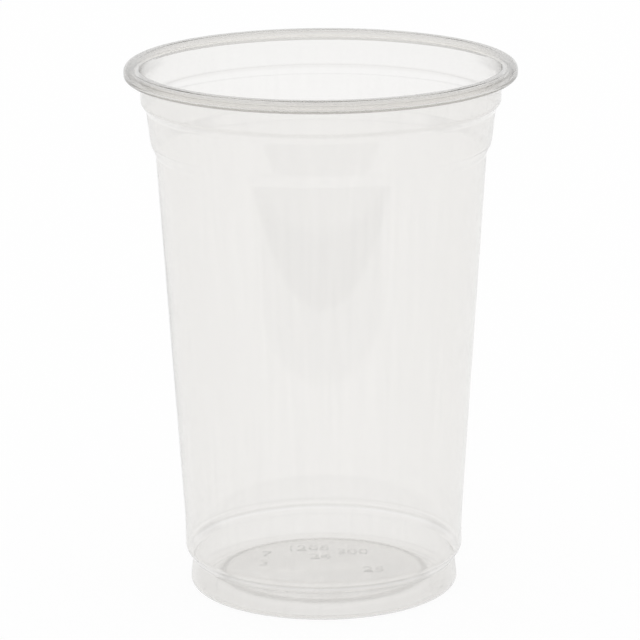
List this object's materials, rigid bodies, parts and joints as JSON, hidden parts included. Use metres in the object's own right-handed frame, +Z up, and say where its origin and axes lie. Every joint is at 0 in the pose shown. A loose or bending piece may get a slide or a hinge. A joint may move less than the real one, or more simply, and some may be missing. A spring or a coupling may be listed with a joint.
{
  "type": "plastic disposable cup",
  "caption": "Clear plastic disposable drinking cup with a rolled lip, stepped neck, tapered body and raised base.",
  "frame": {"origin": "centre of the standing ring, on the plane the cup stands on", "axes": "+Z up along the cup's axis, towards the mouth; the cup is a body of revolution, so X and Y are any two level directions"},
  "size_m": [0.095, 0.095, 0.1305],
  "materials": {
    "clear_plastic": "clear, glossy thermoformed sheet"
  },
  "bodies": {
    "root": {"cup": "clear_plastic"}
  },
  "joints": []
}
